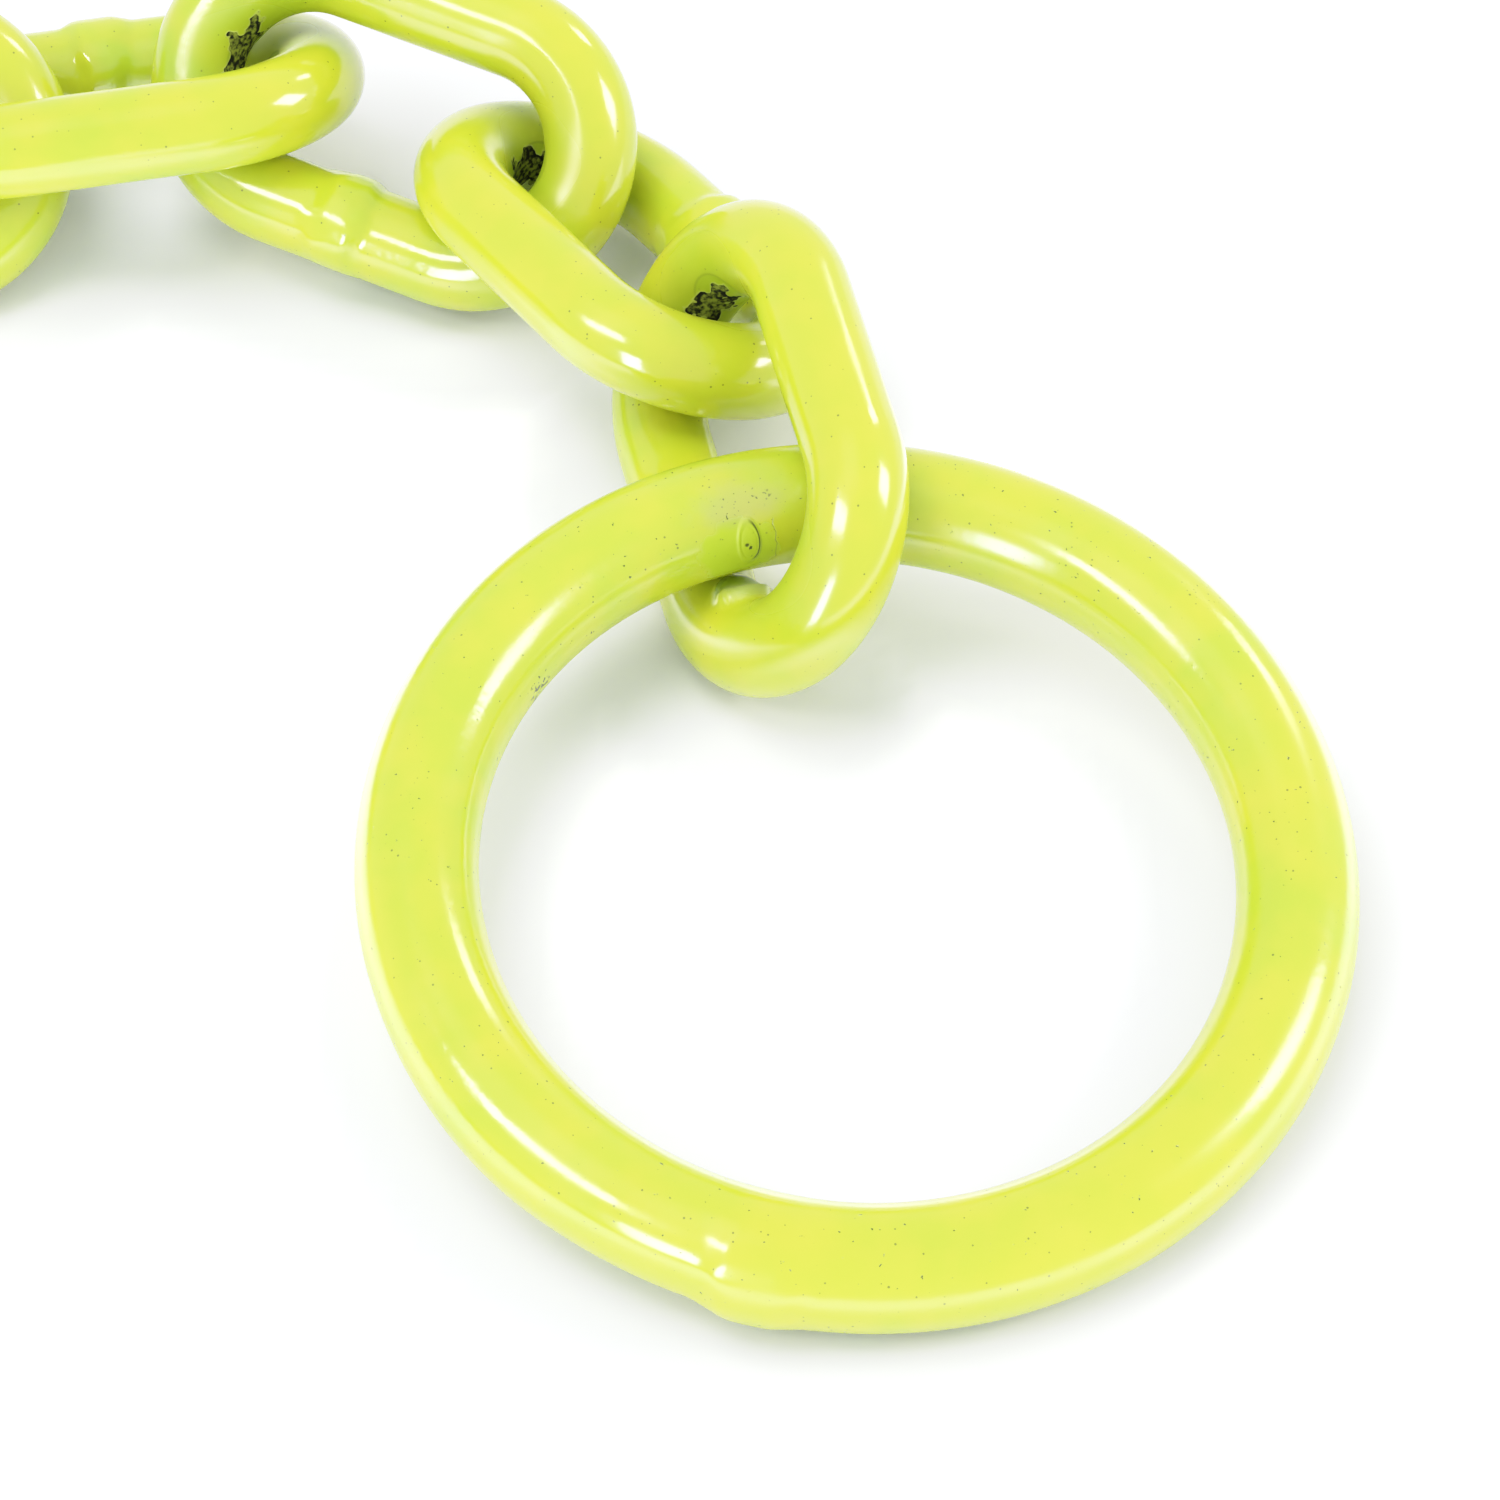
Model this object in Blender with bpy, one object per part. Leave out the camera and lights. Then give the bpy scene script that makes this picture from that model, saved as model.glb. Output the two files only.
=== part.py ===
"""Painted steel chain with a welded end ring, lying loosely on a floor.

Units are metres, with +Z up and the floor at z = 0. The origin is the middle of
the chain's footprint on that floor. Each link and the ring is one welded wire.
"""

import math

import bpy
from mathutils import Matrix, Vector

MM = 0.001

# Link: round wire bent to straight sides and half-round bows
LINK_WIRE = 7.8 * MM
LINK_INSIDE_LENGTH = 28.2 * MM
LINK_OUTSIDE_WIDTH = 28.3 * MM
LINK_COUNT = 18
BOW_RADIUS = (LINK_OUTSIDE_WIDTH - LINK_WIRE) / 2
HALF_SIDE = (LINK_INSIDE_LENGTH + LINK_WIRE) / 2 - BOW_RADIUS
BOW_STEPS = 10
LINK_SECTION_SIDES = 10

# Ring: heavier wire, bent round and butt welded
RING_WIRE = 9.2 * MM
RING_MIDDLE_RADIUS = 33.5 * MM
RING_STEPS = 56
RING_SECTION_SIDES = 12

# Welds: the wire swells to a collar where its ends were joined
WELD_SWELLING = 1.05
WELD_HALF_LENGTH = 2.2 * MM
RING_WELD_SWELLING = 1.04
RING_WELD_STEPS = 2

# The ring leans on the first link, its low side on the floor
RING_TILT = math.radians(7.2)
RING_LOW_SIDE = math.radians(-67)
RING_WELD_SIDE = math.radians(-106)

# The first links as they lie: middle from the ring's axis in mm, then the
# heading of the end nearer the ring, its climb, and the roll, in degrees
FIRST_LINKS = (
    (-7.8, 38.6, 13.3, -76, -5, 57),
    (-18.8, 62.6, 10.6, -54, 4, -26),
    (-39.1, 77.0, 13.4, -22, -6, 43),
    (-63.7, 80.4, 11.6, 9, 2, -26),
    (-88.8, 74.5, 10.9, 6, -1, 40),
)

# The rest of the chain curves round at a steady rate, link by link, each link
# leaning the other way from the last one
BEND_PER_LINK = math.radians(14)
LINK_ROLL = math.radians(40)
SEAT_PLAY = 1.15 * MM
FLOOR_GAP = 0.1 * MM

LIME_PAINT = (0.60, 0.72, 0.09, 1.0)
PAINT_ROUGHNESS = 0.18


def clear_scene():
    """Start from an empty scene."""
    for item in list(bpy.data.objects):
        bpy.data.objects.remove(item, do_unlink=True)


def gloss_paint(name):
    """Gloss lime powder coat over steel."""
    paint = bpy.data.materials.new(name)
    paint.use_nodes = True
    shader = paint.node_tree.nodes["Principled BSDF"]
    shader.inputs["Base Color"].default_value = LIME_PAINT
    shader.inputs["Roughness"].default_value = PAINT_ROUGHNESS
    shader.inputs["Metallic"].default_value = 0.0
    return paint


def closed_wire(name, wire, sides, points, paint):
    """A round wire along a closed path of (place, swelling, twist) points."""
    curve = bpy.data.curves.new(name, "CURVE")
    curve.dimensions = "3D"
    curve.twist_mode = "Z_UP"
    curve.bevel_depth = wire / 2
    curve.bevel_resolution = (sides - 4) // 2
    spline = curve.splines.new("POLY")
    spline.points.add(len(points) - 1)
    spline.use_cyclic_u = True
    spline.use_smooth = True
    for point, (place, swelling, twist) in zip(spline.points, points):
        point.co = (*place, 1.0)
        point.radius = swelling
        point.tilt = twist
    curve.materials.append(paint)
    return curve


def link_path():
    """Stadium path in the XY plane, its weld in the middle of the -Y side."""
    mitre = 1 / math.cos(math.pi / (2 * BOW_STEPS))
    path = []
    for end in (1, -1):
        for step in range(BOW_STEPS + 1):
            turn = math.pi * step / BOW_STEPS - math.pi / 2
            place = Vector((HALF_SIDE + BOW_RADIUS * math.cos(turn), BOW_RADIUS * math.sin(turn), 0))
            at_side = step in (0, BOW_STEPS)
            path.append((place * end, 1.0 if at_side else mitre, 0.0))
    for along, swelling in ((-1, 1.0), (0, WELD_SWELLING), (1, 1.0)):
        path.append((Vector((along * WELD_HALF_LENGTH, -BOW_RADIUS, 0)), swelling, 0.0))
    return path


def ring_path():
    """Circle in the XY plane that starts at its low side, which is at +X."""
    facet = 2 * math.pi / RING_SECTION_SIDES
    twist = facet / 2 - RING_TILT
    mitre = 1 / math.cos(math.pi / RING_STEPS)
    step_angle = 2 * math.pi / RING_STEPS
    weld_step = round((RING_WELD_SIDE - RING_LOW_SIDE) / step_angle - RING_WELD_STEPS / 2) % RING_STEPS
    path = []
    for step in range(RING_STEPS):
        turn = (step + 0.5) * step_angle
        place = Vector((math.cos(turn), math.sin(turn), 0)) * RING_MIDDLE_RADIUS
        swelling = RING_WELD_SWELLING if 0 <= step - weld_step < RING_WELD_STEPS else 1.0
        path.append((place, swelling * mitre, twist))
    return path


def link_frame(heading, climb, roll):
    """Turn a link's long axis, width and thickness to their directions."""
    along = Vector((
        math.cos(heading) * math.cos(climb),
        math.sin(heading) * math.cos(climb),
        math.sin(climb),
    ))
    level = Vector((-math.sin(heading), math.cos(heading), 0))
    across = Matrix.Rotation(roll, 3, along) @ level
    return Matrix((along, across, along.cross(across))).transposed()


def next_in_row(middle, frame, roll, heading):
    """The next link, flat on the floor, its bow pulled against this link's bow."""
    half = HALF_SIDE + BOW_RADIUS
    next_roll = -LINK_ROLL if roll > 0 else LINK_ROLL
    next_frame = link_frame(heading, 0, next_roll)
    pull = (frame.col[0] + next_frame.col[0]).normalized() * (LINK_WIRE + SEAT_PLAY)
    place = middle - frame.col[0] * half + pull - next_frame.col[0] * half
    place.z = BOW_RADIUS * math.sin(LINK_ROLL) + LINK_WIRE / 2 + FLOOR_GAP
    return place, next_frame, next_roll


def chain_layout():
    """Middle, frame and roll of every link, from the ring to the free end."""
    layout = []
    for x, y, z, heading, climb, roll in FIRST_LINKS:
        angles = [math.radians(angle) for angle in (heading, climb, roll)]
        layout.append((Vector((x, y, z)) * MM, link_frame(*angles), angles[2]))
    turn = angles[0]
    while len(layout) < LINK_COUNT:
        turn += BEND_PER_LINK
        layout.append(next_in_row(*layout[-1], turn))
    return layout


def add_links(collection, holder):
    """All links share one wire, each with its weld on the side that lies low."""
    wire = closed_wire("link", LINK_WIRE, LINK_SECTION_SIDES, link_path(), gloss_paint("link_paint"))
    half_turn = Matrix.Rotation(math.pi, 3, "Z")
    for number, (middle, frame, roll) in enumerate(chain_layout(), start=1):
        link = bpy.data.objects.new(f"link_{number:02d}", wire)
        turned = frame if roll > 0 else frame @ half_turn
        link.location = middle
        link.rotation_euler = turned.to_euler()
        link.parent = holder
        collection.objects.link(link)


def add_ring(collection, holder):
    """The ring, tipped about its low side so that one facet lies on the floor."""
    wire = closed_wire("ring", RING_WIRE, RING_SECTION_SIDES, ring_path(), gloss_paint("ring_paint"))
    ring = bpy.data.objects.new("end_ring", wire)
    half_step = math.cos(math.pi / RING_STEPS)
    flat = RING_WIRE / 2 * math.cos(math.pi / RING_SECTION_SIDES) / half_step
    height = RING_MIDDLE_RADIUS * half_step * math.sin(RING_TILT) + flat
    lean = Matrix.Rotation(RING_LOW_SIDE, 3, "Z") @ Matrix.Rotation(RING_TILT, 3, "Y")
    ring.location = (0, 0, height)
    ring.rotation_euler = lean.to_euler()
    ring.parent = holder
    collection.objects.link(ring)


def centre_on_floor(collection, holder):
    """Shift the whole chain so that the middle of its footprint is the origin."""
    bpy.context.view_layer.update()
    graph = bpy.context.evaluated_depsgraph_get()
    corners = []
    for part in collection.objects:
        if part.type != "CURVE":
            continue
        shape = part.evaluated_get(graph)
        mesh = shape.to_mesh()
        corners += [shape.matrix_world @ vertex.co for vertex in mesh.vertices]
        shape.to_mesh_clear()
    for axis in (0, 1):
        values = [corner[axis] for corner in corners]
        holder.location[axis] = -(min(values) + max(values)) / 2


clear_scene()
chain_parts = bpy.data.collections.new("chain_with_end_ring")
bpy.context.scene.collection.children.link(chain_parts)
chain_holder = bpy.data.objects.new("chain_on_floor", None)
chain_parts.objects.link(chain_holder)
add_ring(chain_parts, chain_holder)
add_links(chain_parts, chain_holder)
centre_on_floor(chain_parts, chain_holder)
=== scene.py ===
import math

import bpy
import numpy as np
from mathutils import Matrix, Vector
from mathutils.bvhtree import BVHTree


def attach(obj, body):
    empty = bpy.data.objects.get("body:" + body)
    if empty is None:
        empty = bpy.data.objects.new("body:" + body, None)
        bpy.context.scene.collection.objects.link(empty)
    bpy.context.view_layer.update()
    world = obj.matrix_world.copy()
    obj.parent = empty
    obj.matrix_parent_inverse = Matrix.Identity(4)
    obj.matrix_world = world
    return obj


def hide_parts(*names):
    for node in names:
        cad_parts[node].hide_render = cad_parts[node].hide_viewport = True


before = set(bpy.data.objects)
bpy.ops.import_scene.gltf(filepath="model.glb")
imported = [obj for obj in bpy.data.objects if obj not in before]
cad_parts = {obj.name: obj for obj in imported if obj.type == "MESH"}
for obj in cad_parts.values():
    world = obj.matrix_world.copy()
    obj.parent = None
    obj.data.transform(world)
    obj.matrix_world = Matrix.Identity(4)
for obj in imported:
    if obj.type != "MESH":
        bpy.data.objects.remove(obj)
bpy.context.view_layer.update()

MM = 0.001


# End ring
# A heavier round bar, bent round, butt welded and coated. It lies on its side away from the chain and
# leans on the first link. The weld stands as a collar, and the first link has left a scar by its seat.
RING_WIRE_RADIUS = 4.7 * MM
RING_MIDDLE_RADIUS = 33.5 * MM
RING_PATH_STEPS = 720
RING_SECTION_SIDES = 96
RING_WAVE_GRAIN = 13
RING_WELD_SIDE = math.radians(-103)
RING_WELD_SWELL = 0.4 * MM
RING_WELD_INSET = 0.35 * MM
RING_SCAR_SIDE = math.radians(107)
RING_SCAR_RISE = math.radians(24)
RING_NICK_SIDE = math.radians(149)
RING_SEED = 3.0
BLISTER_HEIGHT = 0.13 * MM
BLISTER_OVAL = (1 / 0.85, 1 / 1.85, 0.1)
SCAR_SHADE_GREEN = "#A4C028"
DUST_AND_SHEEN_GREY = "#9FA36A"
GRIT_OLIVE = "#5E6335"
CRACK_OLIVE = "#4A541A"


def linear(hex_colour):
    """An sRGB hex colour as linear red, green, blue and alpha."""
    values = []
    for place in (1, 3, 5):
        part = int(hex_colour[place:place + 2], 16) / 255
        values.append(part / 12.92 if part <= 0.04045 else ((part + 0.055) / 1.055) ** 2.4)
    return (*values, 1.0)


def add(tree, kind, feeds=None, **settings):
    """Add a node with its settings, and feed its inputs with values, sockets or nodes."""
    node = tree.nodes.new(kind)
    for name, value in settings.items():
        setattr(node, name, value)
    for key, value in (feeds or {}).items():
        if isinstance(value, bpy.types.Node):
            value = next(socket for socket in value.outputs if socket.enabled)
        if isinstance(value, bpy.types.NodeSocket):
            tree.links.new(value, node.inputs[key])
        else:
            node.inputs[key].default_value = value
    return node


# Ring and links are coated together in a thick lime powder that melts in the oven. It flows out glossy,
# with slow waves and a little orange peel. Dust and scale baked into it show as fine dark specks.
LIME = "#ADB929"
LIME_YELLOW = "#C0BA31"
LIME_GREEN = "#98B528"
SPECK_OLIVE = "#3E4418"
RING_ROUGHNESS = 0.19
COAT_IOR = 1.58
COAT_WAVE = 0.06 * MM

# The grain of each pattern in the coat, in millimetres
PATCH_GRAIN = 14
MOTTLE_GRAIN = 4.5
SPECK_SPACING = 0.5
FLOW_GRAIN = 5
PEEL_GRAIN = 0.8


def per_mm(size):
    """Texture scale for a pattern whose grains are this many millimetres wide."""
    return 1 / (size * MM)


def lime_powder_coat(name, roughness, wear):
    """Gloss powder coat; wear adds one kind of piece's marks to its colour, roughness and relief."""
    coat = bpy.data.materials.new(name)
    coat.use_nodes = True
    tree = coat.node_tree
    tree.nodes.clear()
    place = add(tree, "ShaderNodeTexCoord").outputs["Object"]

    patches = add(tree, "ShaderNodeTexNoise", {"Vector": place, "Scale": per_mm(PATCH_GRAIN),
                                               "Detail": 1.0})
    toward_green = add(tree, "ShaderNodeMapRange", {"Value": patches, "From Min": 0.38, "From Max": 0.72,
                                                    "To Max": 0.75})
    mottle = add(tree, "ShaderNodeTexNoise", {"Vector": place, "Scale": per_mm(MOTTLE_GRAIN),
                                              "Detail": 2.0})
    toward_yellow = add(tree, "ShaderNodeMapRange", {"Value": mottle, "From Min": 0.38, "From Max": 0.75,
                                                     "To Max": 0.5})
    colour = add(tree, "ShaderNodeMix", {0: toward_green, 6: linear(LIME), 7: linear(LIME_GREEN)},
                 data_type="RGBA")
    colour = add(tree, "ShaderNodeMix", {0: toward_yellow, 6: colour, 7: linear(LIME_YELLOW)},
                 data_type="RGBA")

    # Specks of up to 0.2 mm, close together in some patches and sparse in others
    crowded = add(tree, "ShaderNodeMapRange", {"Value": mottle, "From Min": 0.35, "From Max": 0.62,
                                               "To Min": 0.93, "To Max": 0.62})
    cells = add(tree, "ShaderNodeTexVoronoi", {"Vector": place, "Scale": per_mm(SPECK_SPACING)})
    picked = add(tree, "ShaderNodeSeparateColor", {0: cells.outputs["Color"]})
    speck_size = add(tree, "ShaderNodeMapRange", {"Value": picked.outputs["Red"], "From Min": crowded,
                                                  "From Max": 1.0, "To Min": 0.0, "To Max": 0.21})
    speck = add(tree, "ShaderNodeMath", {0: cells.outputs["Distance"], 1: speck_size}, operation="LESS_THAN")
    faint = add(tree, "ShaderNodeMath", {0: speck, 1: 0.7}, operation="MULTIPLY")
    colour = add(tree, "ShaderNodeMix", {0: faint, 6: colour, 7: linear(SPECK_OLIVE)}, data_type="RGBA")

    # Relief in millimetres: slow flow of the melted powder, and orange peel that comes and goes
    flow = add(tree, "ShaderNodeTexNoise", {"Vector": place, "Scale": per_mm(FLOW_GRAIN), "Detail": 0.0})
    flow_height = add(tree, "ShaderNodeMath", {0: flow, 1: 0.035}, operation="MULTIPLY")
    peel = add(tree, "ShaderNodeTexNoise", {"Vector": place, "Scale": per_mm(PEEL_GRAIN), "Detail": 1.0})
    peel_depth = add(tree, "ShaderNodeMapRange", {"Value": patches, "From Min": 0.4, "From Max": 0.62,
                                                  "To Min": 0.003, "To Max": 0.018})
    relief = add(tree, "ShaderNodeMath", {0: peel, 1: peel_depth, 2: flow_height}, operation="MULTIPLY_ADD")

    # Where the flow ran thin the coat is a little less glossy, and torn places hardly shine
    rough = add(tree, "ShaderNodeMapRange", {"Value": flow, "From Min": 0.3, "From Max": 0.7,
                                             "To Min": roughness * 1.25, "To Max": roughness * 0.8})
    colour, rough, relief = wear(tree, place, colour, rough, relief)
    bump = add(tree, "ShaderNodeBump", {"Height": relief, "Distance": MM, "Strength": 1.0})
    shine = add(tree, "ShaderNodeMapRange", {"Value": rough, "From Min": 0.3, "From Max": 0.5,
                                             "To Min": 0.5, "To Max": 0.08})
    shader = add(tree, "ShaderNodeBsdfPrincipled", {
        "Base Color": colour, "Roughness": rough, "IOR": COAT_IOR, "Specular IOR Level": shine,
        "Normal": bump})
    add(tree, "ShaderNodeOutputMaterial", {"Surface": shader})
    return coat


def ring_wear(tree, place, colour, rough, relief):
    """The scar beside the first link, which is a cracked blister in a duller patch greened by painted shade,
    a pale greyish film above it that is partly dusty and partly painted sheen, and the nicks.
    """
    scar = add(tree, "ShaderNodeAttribute", attribute_name="scar").outputs["Vector"]
    shaken = add(tree, "ShaderNodeTexNoise", {"Vector": place, "Scale": per_mm(1.5), "Detail": 3.0})
    shaken = add(tree, "ShaderNodeMapRange", {"Value": shaken, "To Min": -0.35, "To Max": 0.35})

    def spot(middle, reach, soft_from, soft_to):
        """One inside an uneven oval on the scar's map, fading out between the two sizes."""
        off = add(tree, "ShaderNodeVectorMath", {0: scar, 1: middle}, operation="SUBTRACT")
        off = add(tree, "ShaderNodeVectorMath", {0: off, 1: [1 / size for size in reach]},
                  operation="MULTIPLY")
        off = add(tree, "ShaderNodeVectorMath", {0: off}, operation="LENGTH").outputs["Value"]
        off = add(tree, "ShaderNodeMath", {0: off, 1: shaken}, operation="ADD")
        return add(tree, "ShaderNodeMapRange", {"Value": off, "From Min": soft_to, "From Max": soft_from},
                   interpolation_type="SMOOTHSTEP")

    # Round the scar the coat is duller, and its greener colour there is painted shade beside the first link
    patch = spot(middle=(0.9, 0.6, 0.0), reach=(3.4, 2.6, 6.0), soft_from=0.85, soft_to=1.1)
    painted_shade_green = add(tree, "ShaderNodeMath", {0: patch, 1: 0.6}, operation="MULTIPLY")
    colour = add(tree, "ShaderNodeMix", {0: painted_shade_green, 6: colour, 7: linear(SCAR_SHADE_GREEN)}, data_type="RGBA")
    rough = add(tree, "ShaderNodeMath", {0: patch, 1: 0.25, 2: rough}, operation="MULTIPLY_ADD")

    # Above the scar a pale greyish film, partly dusty with dark grit and partly painted sheen
    dust_and_sheen = spot(middle=(0.3, -3.1, 0.0), reach=(4.6, 1.7, 6.0), soft_from=0.3, soft_to=1.15)
    sheen_grey = add(tree, "ShaderNodeMath", {0: dust_and_sheen, 1: 0.4}, operation="MULTIPLY")
    colour = add(tree, "ShaderNodeMix", {0: sheen_grey, 6: colour, 7: linear(DUST_AND_SHEEN_GREY)}, data_type="RGBA")
    grit = add(tree, "ShaderNodeTexNoise", {"Vector": place, "Scale": per_mm(0.35), "Detail": 1.0})
    grit = add(tree, "ShaderNodeMapRange", {"Value": grit, "From Min": 0.68, "From Max": 0.74})
    grit = add(tree, "ShaderNodeMath", {0: grit, 1: dust_and_sheen}, operation="MULTIPLY")
    colour = add(tree, "ShaderNodeMix", {0: grit, 6: colour, 7: linear(GRIT_OLIVE)}, data_type="RGBA")

    # The blister's edge stands as a lip that is cracked on one side, with a pinhole near its middle
    oval = add(tree, "ShaderNodeVectorMath", {0: scar, 1: BLISTER_OVAL}, operation="MULTIPLY")
    oval = add(tree, "ShaderNodeVectorMath", {0: oval}, operation="LENGTH").outputs["Value"]
    edge = add(tree, "ShaderNodeMath", {0: oval, 1: 1.0}, operation="SUBTRACT")
    edge = add(tree, "ShaderNodeMath", {0: edge}, operation="ABSOLUTE")
    lip = add(tree, "ShaderNodeMapRange", {"Value": edge, "From Min": 0.25, "From Max": 0.0},
              interpolation_type="SMOOTHSTEP")
    relief = add(tree, "ShaderNodeMath", {0: lip, 1: 0.07, 2: relief}, operation="MULTIPLY_ADD")
    parts = add(tree, "ShaderNodeSeparateXYZ", {0: scar})
    one_side = add(tree, "ShaderNodeMapRange", {"Value": parts.outputs["X"], "From Min": -0.1,
                                                "From Max": -0.5})
    crack = add(tree, "ShaderNodeMapRange", {"Value": edge, "From Min": 0.1, "From Max": 0.03})
    crack = add(tree, "ShaderNodeMath", {0: crack, 1: one_side}, operation="MULTIPLY")
    pinhole = add(tree, "ShaderNodeVectorMath", {0: scar, 1: (0.2, 0.1, 0.0)}, operation="SUBTRACT")
    pinhole = add(tree, "ShaderNodeVectorMath", {0: pinhole, 1: (1, 1, 0)}, operation="MULTIPLY")
    pinhole = add(tree, "ShaderNodeVectorMath", {0: pinhole}, operation="LENGTH").outputs["Value"]
    pinhole = add(tree, "ShaderNodeMapRange", {"Value": pinhole, "From Min": 0.2, "From Max": 0.12})
    crack = add(tree, "ShaderNodeMath", {0: crack, 1: pinhole}, operation="MAXIMUM")

    # Fine wavy hairlines run across the bar beyond the crack
    waver = add(tree, "ShaderNodeTexNoise", {"Vector": place, "Scale": per_mm(1.2), "Detail": 2.0})
    hair = add(tree, "ShaderNodeMath", {0: waver, 1: 0.9, 2: parts.outputs["X"]}, operation="MULTIPLY_ADD")
    hair = add(tree, "ShaderNodeMath", {0: hair, 1: 0.42}, operation="PINGPONG")
    hair = add(tree, "ShaderNodeMapRange", {"Value": hair, "From Min": 0.05, "From Max": 0.01,
                                            "To Max": 0.55})
    beyond = spot(middle=(-2.1, 0.3, 0.0), reach=(0.75, 2.2, 6.0), soft_from=0.7, soft_to=0.95)
    hair = add(tree, "ShaderNodeMath", {0: hair, 1: beyond}, operation="MULTIPLY")
    crack = add(tree, "ShaderNodeMath", {0: crack, 1: hair}, operation="MAXIMUM")

    # Where a hook has rubbed the inner side, the coat is nicked in a few short dark strokes
    nick = add(tree, "ShaderNodeAttribute", attribute_name="nick").outputs["Vector"]
    near_nick = add(tree, "ShaderNodeVectorMath", {0: nick}, operation="LENGTH").outputs["Value"]
    near_nick = add(tree, "ShaderNodeMapRange", {"Value": near_nick, "From Min": 2.2, "From Max": 0.6,
                                                 "To Min": 0.0, "To Max": 0.2})
    strokes = add(tree, "ShaderNodeTexNoise", {"Vector": place, "Scale": per_mm(0.45), "Detail": 2.0})
    strokes = add(tree, "ShaderNodeMath", {0: strokes, 1: near_nick}, operation="ADD")
    strokes = add(tree, "ShaderNodeMapRange", {"Value": strokes, "From Min": 0.72, "From Max": 0.76})
    crack = add(tree, "ShaderNodeMath", {0: crack, 1: strokes}, operation="MAXIMUM")
    colour = add(tree, "ShaderNodeMix", {0: crack, 6: colour, 7: linear(CRACK_OLIVE)}, data_type="RGBA")
    relief = add(tree, "ShaderNodeMath", {0: crack, 1: -0.04, 2: relief}, operation="MULTIPLY_ADD")
    return colour, rough, relief


def cad_points(node):
    """The different corner points of a CAD node."""
    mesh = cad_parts[node].data
    points = np.zeros(len(mesh.vertices) * 3)
    mesh.vertices.foreach_get("co", points)
    return np.unique(points.reshape(-1, 3).round(7), axis=0)


def main_axes(points):
    """A piece's directions, longest first, and its middle along them."""
    directions = np.linalg.eigh(np.cov((points - points.mean(0)).T))[1][:, ::-1]
    spread = points @ directions
    middle = directions @ ((spread.min(0) + spread.max(0)) / 2)
    return [Vector(direction) for direction in directions.T], Vector(middle)


def place_matrix(x_axis, y_axis, z_axis, middle):
    """The matrix that puts a piece's own axes and middle where they lie."""
    turn = Matrix((x_axis, y_axis, z_axis)).transposed().to_4x4()
    turn.translation = middle
    return turn


def geometry_tree(name, inputs):
    """Start a Geometry Nodes tree that has a named input for each size, and give its input node."""
    tree = bpy.data.node_groups.new(name, "GeometryNodeTree")
    tree.is_modifier = True
    tree.interface.new_socket("Geometry", in_out="INPUT", socket_type="NodeSocketGeometry")
    tree.interface.new_socket("Geometry", in_out="OUTPUT", socket_type="NodeSocketGeometry")
    for label, kind in inputs.items():
        tree.interface.new_socket(label, in_out="INPUT", socket_type="NodeSocket" + kind)
    return tree, tree.nodes.new("NodeGroupInput").outputs


def swept_wire(tree, path, sizes):
    """Sweep a round wire along the path, and give it with its own outward direction at each point."""
    here = add(tree, "GeometryNodeInputPosition")
    marked = add(tree, "GeometryNodeStoreNamedAttribute",
                 {"Geometry": path, "Name": "wire_middle", "Value": here}, data_type="FLOAT_VECTOR")
    section = add(tree, "GeometryNodeCurvePrimitiveCircle",
                  {"Resolution": sizes["Section Sides"], "Radius": sizes["Wire Radius"]})
    wire = add(tree, "GeometryNodeCurveToMesh", {0: marked, "Profile Curve": section})
    middle = add(tree, "GeometryNodeInputNamedAttribute", {"Name": "wire_middle"}, data_type="FLOAT_VECTOR")
    away = add(tree, "ShaderNodeVectorMath", {0: here, 1: middle}, operation="SUBTRACT")
    outward = add(tree, "ShaderNodeVectorMath", {0: away}, operation="NORMALIZE")
    return wire, here, middle, outward


def coat_and_close(tree, wire, outward, height, marks, paint):
    """Raise the surface by the height, store the marks for the paint, and end the tree."""
    lift = add(tree, "ShaderNodeVectorMath", {0: outward, "Scale": height}, operation="SCALE")
    shape = add(tree, "GeometryNodeSetPosition", {"Geometry": wire, "Offset": lift})
    for label, (kind, value) in marks.items():
        shape = add(tree, "GeometryNodeStoreNamedAttribute",
                    {"Geometry": shape, "Name": label, "Value": value}, data_type=kind)
    shape = add(tree, "GeometryNodeRemoveAttribute", {"Geometry": shape, "Name": "wire_middle"})
    shape = add(tree, "GeometryNodeSetShadeSmooth", {"Geometry": shape})
    shape = add(tree, "GeometryNodeRealizeInstances", {"Geometry": shape})
    shape = add(tree, "GeometryNodeSetMaterial", {"Geometry": shape, "Material": paint})
    add(tree, "NodeGroupOutput", {0: shape})


def made_piece(name, tree, sizes, matrix):
    """Evaluate the tree with these sizes and keep its result as a plain mesh, its place in the mesh."""
    maker = bpy.data.objects.new(name + "_maker", bpy.data.meshes.new(name))
    bpy.context.scene.collection.objects.link(maker)
    modifier = maker.modifiers.new("wire", "NODES")
    modifier.node_group = tree
    for socket in tree.interface.items_tree:
        if socket.name in sizes:
            modifier[socket.identifier] = sizes[socket.name]
    graph = bpy.context.evaluated_depsgraph_get()
    mesh = bpy.data.meshes.new_from_object(maker.evaluated_get(graph))
    bpy.data.objects.remove(maker)
    mesh.transform(matrix)
    mesh.name = name
    piece = bpy.data.objects.new(name, mesh)
    bpy.context.scene.collection.objects.link(piece)
    return piece


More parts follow.
